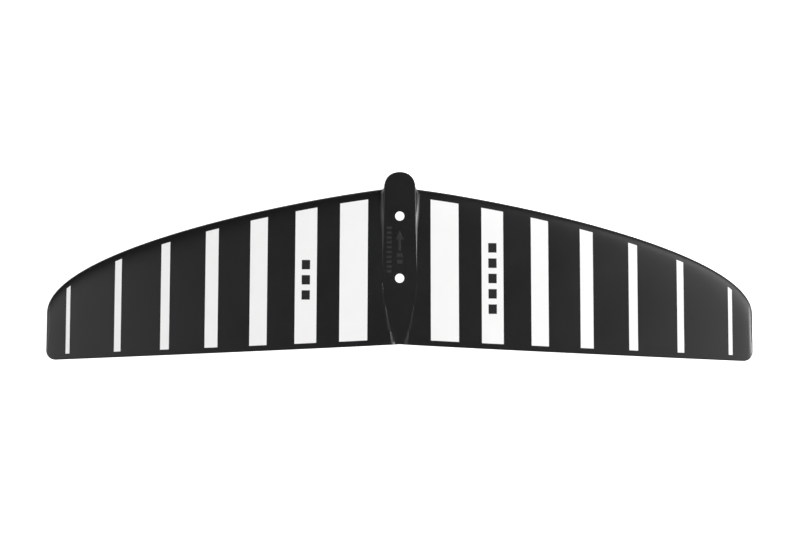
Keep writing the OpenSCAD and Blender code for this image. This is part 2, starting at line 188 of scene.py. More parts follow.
class BoltShape(bpy.types.PropertyGroup):
    """The two bolt holes and their sleeves."""

    pitch: length("Pitch", "Distance between the bolts", 36 * MM)
    hole: length("Hole", "Radius of the bolt holes", 2.65 * MM)
    sleeve: length("Sleeve", "Outer radius of the sleeves", 4 * MM)
    head: length("Head", "Radius of the countersink", 5.2 * MM)
    head_rim: length("Head rim", "Straight wall at the countersink's mouth", 0.3 * MM)
    flange: length("Flange", "Radius of the flange", 6 * MM)
    flange_rim: length("Flange rim", "Thickness of the flange's edge", 0.8 * MM)
    depth: length("Depth", "Sleeve's end below the mating face", 0.6 * MM)
    chamfer: length("Chamfer", "Chamfer round the mouth of each hole", 0.3 * MM)
    edge: length("Edge", "Break of the sleeve's sharp edges", 0.08 * MM)


class StripeShape(bpy.types.PropertyGroup):
    """The printed stripes and dashes."""

    places: FloatVectorProperty(
        name="Places", description="Middle of each stripe as a share of the half span",
        size=STRIPE_COUNT, default=(0.1277, 0.2624, 0.396, 0.5287, 0.6603, 0.7945, 0.9365))
    widths: FloatVectorProperty(
        name="Widths", description="Width of each stripe as a share of the half span",
        size=STRIPE_COUNT, default=(0.079, 0.0615, 0.049, 0.0366, 0.0249, 0.0188, 0.0112))
    front_gap: length("Front gap", "From the leading edge at the root", 4.9 * MM)
    gap_fall: length("Gap fall", "How much that shrinks to the tip", 1.4 * MM)
    rear_gap: length("Rear gap", "From the trailing edge", 3.35 * MM)
    film: length("Film", "Height of the print over the shell", 0.04 * MM)
    shift: length("Shift", "How far the print sits to the left of the middle", 0.25 * MM)
    marked: IntProperty(name="Marked stripe", description="The stripe that carries dashes",
                        default=2, min=1, max=STRIPE_COUNT)
    dashes_left: IntProperty(name="Left dashes", description="Dashes on the left", default=3)
    dashes_right: IntProperty(name="Right dashes", description="Dashes on the right", default=5)
    dash_width: ratio("Dash width", "Width of a dash as a share of its stripe", 0.38)
    dash_length: ratio("Dash length", "Length of a dash as a share of its spacing", 0.62)


class FinishColours(bpy.types.PropertyGroup):
    """Colours of the finishes."""

    shell: paint("Shell", "Satin black of the moulded shells", (0.0045, 0.0046, 0.0049))
    print_white: paint("White print", "The stripes", (0.88, 0.88, 0.875))
    print_black: paint("Black print", "The dashes", (0.004, 0.004, 0.0045))
    carbon: paint("Carbon", "Spar and edge strips", (0.02, 0.021, 0.024))
    laminate: paint("Laminate", "Hub and tip blocks", (0.11, 0.13, 0.075))
    foam: paint("Foam", "Cores", (0.62, 0.52, 0.3))
    metal: paint("Metal", "Bolt sleeves", (0.42, 0.43, 0.45))


class StudioSettings(bpy.types.PropertyGroup):
    """Camera, lights, floor and backdrop."""

    distance: length("Camera distance", "From the wing", 3.0, 0.1, 10)
    view_width: length("View width", "What the camera takes in at the wing", 0.4631)
    view_centre: length("View centre", "Behind the bolts' midpoint", 0.0112)
    view_side: length("View side", "To the right of the bolts", 0.2 * MM)
    roll: FloatProperty(name="Roll", description="Turn of the camera about its own axis",
                        default=math.radians(0.11), unit="ROTATION", subtype="ANGLE")
    floor_side: length("Floor side", "Side of the square floor", 12.0, 1.0, 50)
    floor_gap: length("Floor gap", "From the lowest point down to the floor", 0.2 * MM)
    backdrop_reach: length("Backdrop reach", "From the wing to the ring", 5.4, 1.0, 20)
    backdrop_height: length("Backdrop height", "Height of the ring", 1.2, 0.1, 5)
    light_distance: length("Light distance", "From the wing to each soft box", 2.0, 0.5, 5)
    light_size: length("Light size", "Side of each soft box", 0.7, 0.1, 2)
    air: FloatProperty(name="Air", description="Strength of the light from all around",
                       default=0.02, min=0.0)
    right_high: power("High right light", 2.2)
    right_middle: power("Middle right light", 10.0)
    right_low: power("Low right light", 28.0)
    front_right: power("Front right light", 7.0)
    left_high: power("High left light", 3.4)
    left_low: power("Low left light", 6.0)
    rear_left: power("Rear left light", 1.4)


# ---------------------------------------------------------------- form of the wing


def curve_share(x, power):
    return np.power(np.clip(x, 0.0, 1.0), power)


class WingForm:
    """The wing's surfaces as functions of the distance along the span and the chord."""

    def __init__(self, shape):
        self.p = shape
        tip_chord = shape.root_trail + shape.trail_sweep - shape.tip_corner - shape.tip_lead
        self.half = shape.span / 2 - shape.fan * tip_chord

    def share(self, s):
        return np.clip(np.abs(s) / self.half, 0.0, 1.0)

    def lead(self, s):
        p, t = self.p, self.share(s)
        bow = 1 + p.lead_bow * np.sin(np.pi / 2 * curve_share(t, p.bow_power))
        return -p.tip_lead + (p.root_lead + p.tip_lead) * bow * np.sqrt(1 - t)

    def trail(self, s):
        p, t = self.p, self.share(s)
        into = np.clip((np.abs(s) - self.half + p.tip_corner) / p.tip_corner, 0, 1)
        return (-p.root_trail - p.trail_sweep * curve_share(t, p.sweep_power)
                + p.tip_corner * (1 - np.sqrt(1 - into ** 2)))

    def chord(self, s):
        return self.lead(s) - self.trail(s)

    def x(self, s, y):
        return s + np.sign(s) * self.p.fan * np.sqrt(self.share(s)) * (self.lead(s) - y)

    def tip_cap(self, s):
        into = np.clip((np.abs(s) - self.half + self.p.tip_round) / self.p.tip_round, 0, 1)
        return np.sqrt(1 - into ** 2)

    def half_thickness(self, s, v):
        """Half of the section's thickness, rounded off at the tip and the trailing edge."""
        p = self.p
        spread = 5 * (SECTION[0] * np.sqrt(v)
                      + sum(SECTION[k] * v ** k for k in range(1, len(SECTION))))
        size = p.thickness * self.chord(s) * spread + p.trail_edge / 2 * v
        edge = p.trail_edge / 2
        into = np.clip(1 - (1 - v) * self.chord(s) / edge, 0, 1)
        return size * self.tip_cap(s) * np.sqrt(1 - into ** 2)

    def middle(self, s, y, v):
        p = self.p
        return (p.trail_height - p.droop * curve_share(self.share(s), p.droop_power)
                - p.incidence * (y + p.root_trail)
                - 4 * p.camber * self.chord(s) * v * (1 - v))

    def z(self, s, y, side):
        v = np.clip((self.lead(s) - y) / self.chord(s), 0, 1)
        return self.middle(s, y, v) + side * self.half_thickness(s, v)

    def top(self, y):
        """Height of the upper face on the centre line."""
        return float(self.z(np.float64(0), np.float64(y), 1.0))

    def low(self, y):
        return float(self.z(np.float64(0), np.float64(y), -1.0))

    def skin_inner(self, s, y, side):
        v = np.clip((self.lead(s) - y) / self.chord(s), 0, 1)
        half = self.half_thickness(s, v)
        skin = self.p.skin * self.p.thickness * self.chord(s)
        return self.middle(s, y, v) + side * np.maximum(half - skin, 0)


class PadForm:
    """The mounting pad's outline and heights as functions of the place along the chord."""

    def __init__(self, shape, wing):
        self.p = shape
        self.wing = wing
        self.root = wing.p.root_lead - shape.nose_start
        self.tip = self.root + shape.nose

    def half(self, y):
        """Half width of the mating face and of the recess behind it."""
        p = self.p
        if y > self.root:
            ahead = min((y - self.root) / p.nose, 1.0)
            outline = (1 - ahead ** p.nose_power) ** (1 / p.nose_power)
            return max(p.half_front * outline, 0.4 * MM)
        if y > -p.rear:
            return self.blend(p.half_front, p.half_rear, self.along(y))
        behind = (-p.rear - y) / (self.wing.p.root_trail - p.rear)
        return self.blend(p.half_rear, p.tail_half, min(behind, 1.0) ** p.tail_power)

    def blend(self, a, b, t):
        return a + (b - a) * min(max(t, 0.0), 1.0)

    def along(self, y):
        """0 at the leading edge and 1 where the wing comes level."""
        return (self.root - y) / (self.root + self.p.rear)

    def foot(self, y):
        """How far the foot stands out past the face."""
        flare = min(max((self.root + FLARE_START - y) / FLARE_LENGTH, 0.0), 1.0)
        reach = flare * self.blend(self.p.foot_front, self.p.foot_rear, self.along(y))
        return min(reach, -self.foot_z(y) * self.p.wall_run)

    def foot_z(self, y):
        """Height of the wall's foot."""
        if y > self.root - 0.2 * MM:
            start = self.wing.top(self.root - 0.3 * MM)
            ahead = (y - self.root) / self.p.foot_length
            return self.blend(start, -self.p.nose_foot, ahead)
        return min(self.wing.top(y), -self.p.thin_wall)

    def under(self, y):
        """Height of the underside, which is the chin ahead of the wing."""
        start = self.p.chin_start
        reach = (max(y, start) - start) / (self.tip - start)
        low = self.wing.low(start) + self.p.chin_cover
        chin = self.blend(-self.p.chin_depth, low, math.sqrt(max(1 - reach ** 2, 0.0)))
        middle = (self.wing.top(y) + self.wing.low(y)) / 2 if y < start else 0.0
        return self.blend(middle, chin, y / start)

    def rim(self, y):
        """Radius round the mating face, larger at the front of the nose."""
        ahead = min(max((y - self.root) / self.p.nose, 0.0), 1.0)
        radius = self.blend(self.p.rim, self.p.nose_rim, ahead ** 4)
        return min(radius, self.half(y) / 2, -self.foot_z(y) * 0.6)

    def section(self, y):
        """The closed outline at y: face, rounded rim, hollow wall, and the hidden underside."""
        width, rim, foot = self.half(y), self.rim(y), self.foot(y)
        wall_foot = self.foot_z(y) - self.p.overlap
        hollow = self.blend(self.p.front_hollow, self.p.rear_hollow, self.along(y))
        right = [(max(width - rim - 0.3 * MM, 0.1 * MM), 0.0)]
        for turn in np.radians(np.linspace(0, 90, RIM_STEPS)):
            right.append((width - rim + rim * math.sin(turn), -rim + rim * math.cos(turn)))
        for t in np.linspace(0, 1, HOLLOW_STEPS)[1:]:
            fall = 1 - (1 - t) ** hollow
            right.append((width + foot * t, -rim + (wall_foot + rim) * fall))
        low = self.under(y)
        for turn in np.radians(np.linspace(0, 90, CHIN_STEPS)[1:-1]):
            right.append(((width + foot) * math.cos(turn),
                          wall_foot + (low - wall_foot) * math.sin(turn)))
        left = [(-x, z) for x, z in reversed(right)]
        return [(x, y, z) for x, z in (*right, (0.0, low), *left)]

    def stations(self):
        """Places of the sections, from the nose back."""
        turns = np.radians(np.linspace(0, 90, NOSE_STEPS)[:-1])
        nose = self.root + self.p.nose * np.cos(turns)
        flared = self.root - FLARE_LENGTH
        return [*nose, *np.linspace(self.root, flared, FLARE_STEPS)[:-1],
                *np.linspace(flared, -self.p.rear, WALL_STATIONS)]

    def box_section(self, y, low, high, slope):
        """A flat-floored trough that follows the outline."""
        width = self.half(y)
        top = width + slope * (high - max(low, 0.0))
        return [(top, y, high), (width, y, low), (-width, y, low), (-top, y, high)]

    def trough(self, front, rear, low, high, slope=0.0):
        places = np.linspace(-front, -rear, TROUGH_STEPS)
        return [self.box_section(y, low, high, slope) for y in places]


# ---------------------------------------------------------------- mesh helpers


def merged(pieces):
    """Joins loose solids into the first of them."""
    build = bmesh.new()
    for piece in pieces:
        build.from_mesh(piece.data)
    build.to_mesh(pieces[0].data)
    build.free()
    for piece in pieces[1:]:
        bpy.data.objects.remove(piece)
    return pieces[0]


def grid_faces(rows, columns, start=0, flip=False):
    """Quads over a grid of points held row by row."""
    quads = []
    for r in range(rows - 1):
        for c in range(columns - 1):
            a = start + r * columns + c
            quad = (a, a + columns, a + columns + 1, a + 1)
            quads.append(quad[::-1] if flip else quad)
    return quads


def rim_faces(rows, columns, under):
    """Quads that join the edges of two grids with the same rows and columns."""
    at = lambda r, c: r * columns + c
    loop = ([at(0, c) for c in range(columns)]
            + [at(r, columns - 1) for r in range(1, rows)]
            + [at(rows - 1, c) for c in range(columns - 2, -1, -1)]
            + [at(r, 0) for r in range(rows - 2, 0, -1)])
    pairs = zip(loop, loop[1:] + loop[:1])
    return [(a, b, b + under, a + under) for a, b in pairs]


def loose(name, points, faces, weld=0.0):
    """A mesh object with clean, outward faces."""
    mesh = bpy.data.meshes.new(name)
    mesh.from_pydata([tuple(p) for p in points], [], faces)
    build = bmesh.new()
    build.from_mesh(mesh)
    if weld:
        bmesh.ops.remove_doubles(build, verts=build.verts, dist=weld)
        bmesh.ops.dissolve_degenerate(build, edges=build.edges, dist=weld)
        wires = [edge for edge in build.edges if not edge.link_faces]
        bmesh.ops.delete(build, geom=wires, context="EDGES")
    bmesh.ops.recalc_face_normals(build, faces=build.faces)
    build.to_mesh(mesh)
    build.free()
    piece = bpy.data.objects.new(name, mesh)
    bpy.context.scene.collection.objects.link(piece)
    return piece


def shade(piece, sharp_degrees=32.0):
    """Smooth shading that keeps the real edges crisp."""
    mesh = piece.data
    mesh.polygons.foreach_set("use_smooth", [True] * len(mesh.polygons))
    mesh.set_sharp_from_angle(angle=math.radians(sharp_degrees))
    step = piece.modifiers.new("flat_faces_first", "WEIGHTED_NORMAL")
    step.keep_sharp = True


def finished(piece, material, nodes):
    """Lets a piece ride on the root body and stand for some CAD nodes."""
    piece.data.materials.clear()
    piece.data.materials.append(material)
    shade(piece)
    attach(piece, "root")
    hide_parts(*nodes)
    return piece


def slab(name, top, under, weld=WELD):
    """A closed solid between two grids of points of shape rows, columns, 3."""
    rows, columns = top.shape[:2]
    count = rows * columns
    faces = (grid_faces(rows, columns) + grid_faces(rows, columns, count, flip=True)
             + rim_faces(rows, columns, count))
    return loose(name, np.concatenate([top.reshape(-1, 3), under.reshape(-1, 3)]), faces, weld)


def loft(name, sections):
    """A closed solid through outlines with the same number of points."""
    count, rows = len(sections[0]), len(sections)
    faces = [tuple(range(count)), tuple((rows - 1) * count + i for i in range(count))]
    for r in range(rows - 1):
        for i in range(count):
            a, b = r * count + i, r * count + (i + 1) % count
            faces.append((a, b, b + count, a + count))
    return loose(name, [p for section in sections for p in section], faces, WELD / 2)


def lathe(name, profile, centre, steps=TURN_STEPS):
    """A solid from a closed outline of radius and height, turned about an upright axis."""
    count = len(profile)
    points, faces = [], []
    for i in range(steps):
        turn = 2 * math.pi * (i + 0.5) / steps
        for radius, height in profile:
            points.append((centre[0] + radius * math.cos(turn),
                           centre[1] + radius * math.sin(turn), height))
        for k in range(count):
            a, b = i * count + k, i * count + (k + 1) % count
            c, d = (i + 1) % steps * count + (k + 1) % count, (i + 1) % steps * count + k
            faces.append((a, d, c, b))
    return loose(name, points, faces, FINE_WELD)


def combine(piece, operation, other):
    """Applies a union or a difference with another solid, and removes that solid."""
    step = piece.modifiers.new("combine", "BOOLEAN")
    step.operation = operation
    step.solver = "EXACT"
    step.object = other
    bpy.context.view_layer.update()
    shaped = piece.evaluated_get(bpy.context.evaluated_depsgraph_get())
    mesh = bpy.data.meshes.new_from_object(shaped)
    piece.modifiers.clear()
    piece.data = mesh
    bpy.data.objects.remove(other)


def cleaned(piece):
    """Joins points that coincide after the cuts and removes flaps of no thickness."""
    build = bmesh.new()
    build.from_mesh(piece.data)
    bmesh.ops.remove_doubles(build, verts=build.verts, dist=WELD)
    bmesh.ops.triangulate(build, faces=build.faces)
    twins = {}
    for face in build.faces:
        twins.setdefault(frozenset(face.verts), []).append(face)
    flaps = [face for face in build.faces
             if len(twins[frozenset(face.verts)]) > 1
             or all(len(edge.link_faces) > 2 for edge in face.edges)]
    bmesh.ops.delete(build, geom=flaps, context="FACES")
    build.to_mesh(piece.data)
    build.free()


# ---------------------------------------------------------------- shader helpers


class Value:
    """A shader socket that takes part in Python sums."""

    def __init__(self, tree, socket):
        self.tree = tree
        self.socket = socket

    def math(self, operation, *others):
        return self.tree.node("ShaderNodeMath", {"operation": operation},
                              dict(enumerate((self, *others))))

    def __add__(self, other):
        return self.math("ADD", other)

    __radd__ = __add__

    def __mul__(self, other):
        return self.math("MULTIPLY", other)

    __rmul__ = __mul__

    def __sub__(self, other):
        return self.math("SUBTRACT", other)

    def __rsub__(self, other):
        return self.tree.node("ShaderNodeMath", {"operation": "SUBTRACT"}, {0: other, 1: self})

    def __truediv__(self, other):
        return self.math("DIVIDE", other)

    def __abs__(self):
        return self.math("ABSOLUTE")

    def fraction(self):
        return self.math("FRACT")

    def clamp(self, low, high):
        return self.tree.node("ShaderNodeClamp", {}, {"Value": self, "Min": low, "Max": high})

    def between(self, low, high):
        """0 below low, 1 above high, and smooth in between."""
        return self.tree.node(
            "ShaderNodeMapRange", {"interpolation_type": "SMOOTHSTEP"},
            {"Value": self, "From Min": low, "From Max": high, "To Min": 0.0, "To Max": 1.0},
            "Result")


class Finish:
    """A material under construction."""

    def __init__(self, name):
        self.material = bpy.data.materials.new(name)
        self.material.use_nodes = True
        self.nodes = self.material.node_tree.nodes
        self.links = self.material.node_tree.links
        self.nodes.clear()
        self.out = self.nodes.new("ShaderNodeOutputMaterial")
        self.shader = self.nodes.new("ShaderNodeBsdfPrincipled")
        self.links.new(self.shader.outputs["BSDF"], self.out.inputs["Surface"])
        self.place = self.node("ShaderNodeTexCoord", {}, {}, "Object")

    def node(self, kind, settings, inputs, output=0):
        """Adds a node: its settings first, then the values or links of its sockets."""
        made = self.nodes.new(kind)
        for key, value in settings.items():
            setattr(made, key, value)
        for key, value in inputs.items():
            self.feed(made.inputs[key], value)
        return Value(self, made.outputs[output])

    def feed(self, socket, value):
        if isinstance(value, Value):
            self.links.new(value.socket, socket)
        else:
            socket.default_value = value

    def set(self, **sockets):
        """Sets or links sockets of the main shader, with spaces as underscores."""
        for key, value in sockets.items():
            self.feed(self.shader.inputs[key.replace("_", " ")], value)

    def axis(self, name):
        """One of the object coordinates, in metres."""
        return self.node("ShaderNodeSeparateXYZ", {}, {"Vector": self.place}, name)

    def stretched(self, scale):
        """Object coordinates, scaled on each axis."""
        return self.node("ShaderNodeMapping", {}, {"Vector": self.place, "Scale": scale}, 0)

    def noise(self, size, detail=2.0, stretch=(1, 1, 1), roughness=0.5):
        """Noise with features of about the given size in metres, from 0 to 1."""
        return self.node("ShaderNodeTexNoise", {"noise_dimensions": "3D"},
                         {"Vector": self.stretched(stretch), "Scale": 1 / size,
                          "Detail": detail, "Roughness": roughness}, 0)

    def mix(self, factor, first, second):
        """A colour between two colours."""
        made = self.nodes.new("ShaderNodeMix")
        made.data_type = "RGBA"
        self.feed(made.inputs["Factor"], factor)
        for name, value in (("A", first), ("B", second)):
            socket = [s for s in made.inputs if s.name == name and s.type == "RGBA"][0]
            self.feed(socket, value if isinstance(value, Value) else (*value, 1.0))
        colour = [s for s in made.outputs if s.type == "RGBA"][0]
        return Value(self, colour)

    def bump(self, height, distance, strength=1.0, under=None):
        inputs = {"Height": height, "Distance": distance, "Strength": strength}
        if under is not None:
            inputs["Normal"] = under
        return self.node("ShaderNodeBump", {}, inputs)


def tint(colour, factor):
    return tuple(min(1.0, c * factor) for c in colour)


def satin_black(name, colours, mark=None):
    """Moulded laminate: fine grain, slight waviness, haze and handling marks."""
    f = Finish(name)
    base = tuple(colours.shell)
    grain = f.noise(0.35 * MM, 3.0)
    waves = f.noise(9 * MM, 1.0)
    haze = f.noise(38 * MM, 3.0, roughness=0.6)
    rubbed = f.noise(2.2 * MM, 2.0, stretch=(1, 0.05, 1))
    marks = rubbed.between(0.6, 0.78) * haze.between(0.45, 0.7)
    tone = (haze - 0.5) * 0.3 + (grain - 0.5) * 0.4 + marks * 0.25 + 0.5
    colour = f.mix(tone.clamp(0.0, 1.0), tint(base, 0.82), tint(base, 1.25))
    roughness = 0.32 + (haze - 0.5) * 0.1 + (grain - 0.5) * 0.06 - marks * 0.04
    normal = f.bump(grain, 0.01 * MM, 0.6, f.bump(waves, 0.015 * MM, 0.5))
    if mark is not None:
        cover = mark(f)
        colour = f.mix(cover * (0.7 + (grain - 0.5) * 0.8), colour, tint(base, 3.2))
        roughness = roughness + cover * 0.12
        normal = f.bump(cover, 0.05 * MM, 0.4, normal)
    f.set(Base_Color=colour, Roughness=roughness, Specular_IOR_Level=0.5, Normal=normal)
    return f.material


def shell_finish(colours):
    return satin_black("satin_black_laminate", colours)


def pad_finish(colours):
    return satin_black("marked_black_laminate", colours, pad_marks)


def pad_marks(f):
    """A moulded arrow that points forward, two squares behind it, and a row of ticks."""
    x, y = f.axis("X"), f.axis("Y")
    soft = 0.08 * MM
    head_rear, head_half, head_length, head_slope = 4.5 * MM, 2.2 * MM, 5.2 * MM, 0.42
    shaft_middle, shaft_half, shaft_length = 1.5 * MM, 0.6 * MM, 7.0 * MM
    square_places, square_across, square_along = (-4.6 * MM, -8.4 * MM), 1.5 * MM, 1.1 * MM
    tick_column, tick_half, tick_middle, tick_reach = -6.1 * MM, 1.3 * MM, -1.4 * MM, 14.1 * MM
    tick_start, tick_step, tick_share = -15.4 * MM, 2.8 * MM, (0.22, 0.27)

    def within(value, middle, half):
        return 1 - abs(value - middle).between(half - soft, half + soft)

    ahead = (y - head_rear).clamp(0.0, 1.0)
    head = (within(x, 0.0, head_half - ahead * head_slope)
            * within(y, head_rear + head_length / 2, head_length / 2))
    shaft = within(x, 0.0, shaft_half) * within(y, shaft_middle, shaft_length / 2)
    near, far = square_places
    squares = within(x, 0.0, square_across) * (within(y, near, square_along)
                                               + within(y, far, square_along))
    place = ((y - tick_start) / tick_step).fraction()
    ticks = (within(x, tick_column, tick_half) * within(y, tick_middle, tick_reach)
             * (1 - abs(place - 0.5).between(*tick_share)))
    return (head + shaft + squares + ticks).clamp(0.0, 1.0)


def print_finish(name, colour, roughness):
    """Screen print that lets the grain of the shell through and is thin in places."""
    f = Finish(name)
    grain = f.noise(0.3 * MM, 3.0)
    cloud = f.noise(14 * MM, 2.0)
    tone = (cloud - 0.5) * 0.6 + (grain - 0.5) * 0.4 + 0.5
    f.set(Base_Color=f.mix(tone.clamp(0.0, 1.0), tint(colour, 0.96), tint(colour, 1.03)),
          Roughness=roughness + (grain - 0.5) * 0.1,
          Normal=f.bump(grain, 0.01 * MM, 0.5))
    return f.material


def carbon_finish(colours):
    """Unidirectional carbon laminate: fine fibres along the span."""
    f = Finish("carbon_laminate")
    fibre = f.noise(0.25 * MM, 3.0, stretch=(0.02, 1, 1))
    base = tuple(colours.carbon)
    f.set(Base_Color=f.mix(fibre, tint(base, 0.5), tint(base, 1.8)),
          Roughness=0.32 + (fibre - 0.5) * 0.2,
          Normal=f.bump(fibre, 0.02 * MM, 0.5))
    return f.material


def laminate_finish(colours):
    """Dense glass laminate: thin layers and a faint cloth pattern."""
    f = Finish("glass_laminate")
    layer = f.noise(0.4 * MM, 2.0, stretch=(0.03, 0.03, 1))
    base = tuple(colours.laminate)
    f.set(Base_Color=f.mix(layer, tint(base, 0.75), tint(base, 1.25)),
          Roughness=0.45 + (layer - 0.5) * 0.2,
          Normal=f.bump(layer, 0.02 * MM, 0.4))
    return f.material


def foam_finish(colours):
    """Closed-cell foam: small round cells."""
    f = Finish("core_foam")
    cells = f.node("ShaderNodeTexVoronoi", {"feature": "F1"},
                   {"Vector": f.place, "Scale": 1 / (0.6 * MM)}, "Distance")
    base = tuple(colours.foam)
    f.set(Base_Color=f.mix(cells.clamp(0.0, 1.0), tint(base, 0.8), tint(base, 1.1)),
          Roughness=0.85, Normal=f.bump(cells, 0.08 * MM, 0.6))
    return f.material


def metal_finish(colours):
    """Turned and anodised aluminium: fine rings and slight cloudiness."""
    f = Finish("anodised_sleeve")
    rings = f.noise(0.12 * MM, 2.0, stretch=(0.2, 0.2, 1))
    cloud = f.noise(3 * MM, 2.0)
    base = tuple(colours.metal)
    f.set(Base_Color=f.mix(cloud, tint(base, 0.85), tint(base, 1.1)), Metallic=1.0,
          Roughness=0.3 + (rings - 0.5) * 0.2, Normal=f.bump(rings, 0.004 * MM, 0.5))
    return f.material


def floor_finish():
    """A pale floor that glows a little, so that shadows on it stay faint."""
    f = Finish("pale_floor")
    grain = f.noise(0.05, 2.0)
    f.set(Base_Color=f.mix(grain, (0.93, 0.93, 0.93), (0.95, 0.95, 0.95)), Roughness=0.9,
          Specular_IOR_Level=0.0,
          Emission_Color=(1.0, 1.0, 1.0, 1.0), Emission_Strength=1.0)
    return f.material


FINISHES = {}


def finish(name):
    """The material of that name, made once."""
    if name not in FINISHES:
        colours = bpy.context.scene.stabiliser_colours
        makers = {
            "shell": lambda: shell_finish(colours),
            "pad": lambda: pad_finish(colours),
            "white": lambda: print_finish("white_print", tuple(colours.print_white), 0.42),
            "black": lambda: print_finish("black_print", tuple(colours.print_black), 0.4),
            "carbon": lambda: carbon_finish(colours),
            "laminate": lambda: laminate_finish(colours),
            "foam": lambda: foam_finish(colours),
            "metal": lambda: metal_finish(colours),
            "floor": floor_finish,
        }
        FINISHES[name] = makers[name]()
    return FINISHES[name]


# ---------------------------------------------------------------- stations and stripes


def span_stations(form, count):
    """Distances along the span, from tip to tip, close together towards the tips."""
    q = np.linspace(0, 1, count)
    right = form.half * (1 - (1 - q) ** 2)
    return np.concatenate([-right[:0:-1], right])


def chord_shares(count):
    """Shares of the chord, close together at both edges."""
    return (1 - np.cos(np.linspace(0, np.pi, count))) / 2


def face_grid(form, stations, shares, side, inner=False):
    s = np.repeat(stations[:, None], len(shares), 1)
    v = np.repeat(shares[None, :], len(stations), 0)
    y = form.lead(s) - v * form.chord(s)
    z = form.skin_inner(s, y, side) if inner else form.z(s, y, side)
    return np.stack([form.x(s, y), y, z], -1)


def bolt_ends(bolts):
    """The CAD node and the place of each bolt sleeve."""
    return (("bolt_sleeve_front", bolts.pitch / 2), ("bolt_sleeve_rear", -bolts.pitch / 2))


def sleeve_space(bolts, node, y, mouth=False):
    """Everything that a bolt and its sleeve take out of the pieces round them."""
    past = 8 * MM
    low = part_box(node)[0].z
    if mouth:
        edge = bolts.chamfer
        way = [(0, edge), (bolts.hole + 2 * edge, edge), (bolts.hole, -edge)]
    else:
        way = [(0, past), (bolts.hole, past)]
    return lathe("space", [
        *way, (bolts.hole, -bolts.depth), (bolts.sleeve, -bolts.depth),
        (bolts.sleeve, low + bolts.flange_rim + bolts.flange - bolts.sleeve),
        (bolts.flange, low + bolts.flange_rim), (bolts.flange, low - past), (0, low - past)],
        (0, y))


# ---------------------------------------------------------------- operators


class STABILISER_OT_shells(bpy.types.Operator):
    """Build the upper and lower shells"""

    bl_idname = "stabiliser.shells"
    bl_label = "Shells"

    def execute(self, context):
        scene = context.scene
        form = WingForm(scene.stabiliser_wing)
        pad = PadForm(scene.stabiliser_pad, form)
        bolts = scene.stabiliser_bolts
        stations = span_stations(form, SPAN_STEPS)
        shares = chord_shares(CHORD_STEPS)
        for name, node, side in (("upper_shell", "upper_skin", 1.0),
                                 ("lower_shell", "lower_skin", -1.0)):
            outer = face_grid(form, stations, shares, side)
            inner = face_grid(form, stations, shares, side, inner=True)
            piece = slab(name, outer, inner)
            recess = pad.trough(pad.p.rear, form.p.root_trail + MM, 0.0, OPEN_HEIGHT,
                               pad.p.wall_slope)
            combine(piece, "DIFFERENCE", loft("recess", recess))
            if side > 0:
                inlay = pad.trough(pad.p.inlay_front, INLAY_REAR, -pad.p.inlay, OPEN_HEIGHT)
                combine(piece, "DIFFERENCE", loft("inlay", inlay))
            for end, y in bolt_ends(bolts):
                combine(piece, "DIFFERENCE", sleeve_space(bolts, end, y))
            cleaned(piece)
            finished(piece, finish("shell"), [node])
        return {"FINISHED"}


class STABILISER_OT_pad(bpy.types.Operator):
    """Build the mounting pad with its nose, hollow foot and bolt holes"""

    bl_idname = "stabiliser.pad"
    bl_label = "Mounting pad"

    def execute(self, context):
        scene = context.scene
        form = WingForm(scene.stabiliser_wing)
        pad = PadForm(scene.stabiliser_pad, form)
        bolts = scene.stabiliser_bolts
        piece = loft("pad", [pad.section(y) for y in pad.stations()])
        stations = span_stations(form, SPAN_STEPS)
        stations = stations[np.abs(stations) < 2 * pad.p.half_rear]
        shares = chord_shares(CHORD_STEPS)
        bay = slab("bay", face_grid(form, stations, shares, 1.0),
                   face_grid(form, stations, shares, -1.0))
        inlay = pad.trough(pad.p.inlay_front, INLAY_REAR, -pad.p.inlay, 0.0)
        combine(piece, "DIFFERENCE", bay)
        combine(piece, "UNION", loft("inlay", inlay))
        for node, y in bolt_ends(bolts):
            combine(piece, "DIFFERENCE", sleeve_space(bolts, node, y, mouth=True))
        cleaned(piece)
        finished(piece, finish("pad"), ["mounting_pad"])
        return {"FINISHED"}


class STABILISER_OT_sleeves(bpy.types.Operator):
    """Turn the two bolt sleeves"""

    bl_idname = "stabiliser.sleeves"
    bl_label = "Bolt sleeves"

    def execute(self, context):
        bolts = context.scene.stabiliser_bolts
        edge = bolts.edge
        for node, y in bolt_ends(bolts):
            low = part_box(node)[0].z
            rim = low + bolts.flange_rim
            seat = low + bolts.head_rim
            profile = [
                (bolts.hole, -bolts.depth), (bolts.sleeve, -bolts.depth),
                (bolts.sleeve, rim + bolts.flange - bolts.sleeve), (bolts.flange, rim),
                (bolts.flange, low + edge), (bolts.flange - edge, low),
                (bolts.head + edge, low), (bolts.head, low + edge), (bolts.head, seat),
                (bolts.hole, seat + bolts.head - bolts.hole)]
            piece = lathe(node.replace("bolt_", "") + "_turned", profile, (0, y))
            finished(piece, finish("metal"), [node])
        return {"FINISHED"}


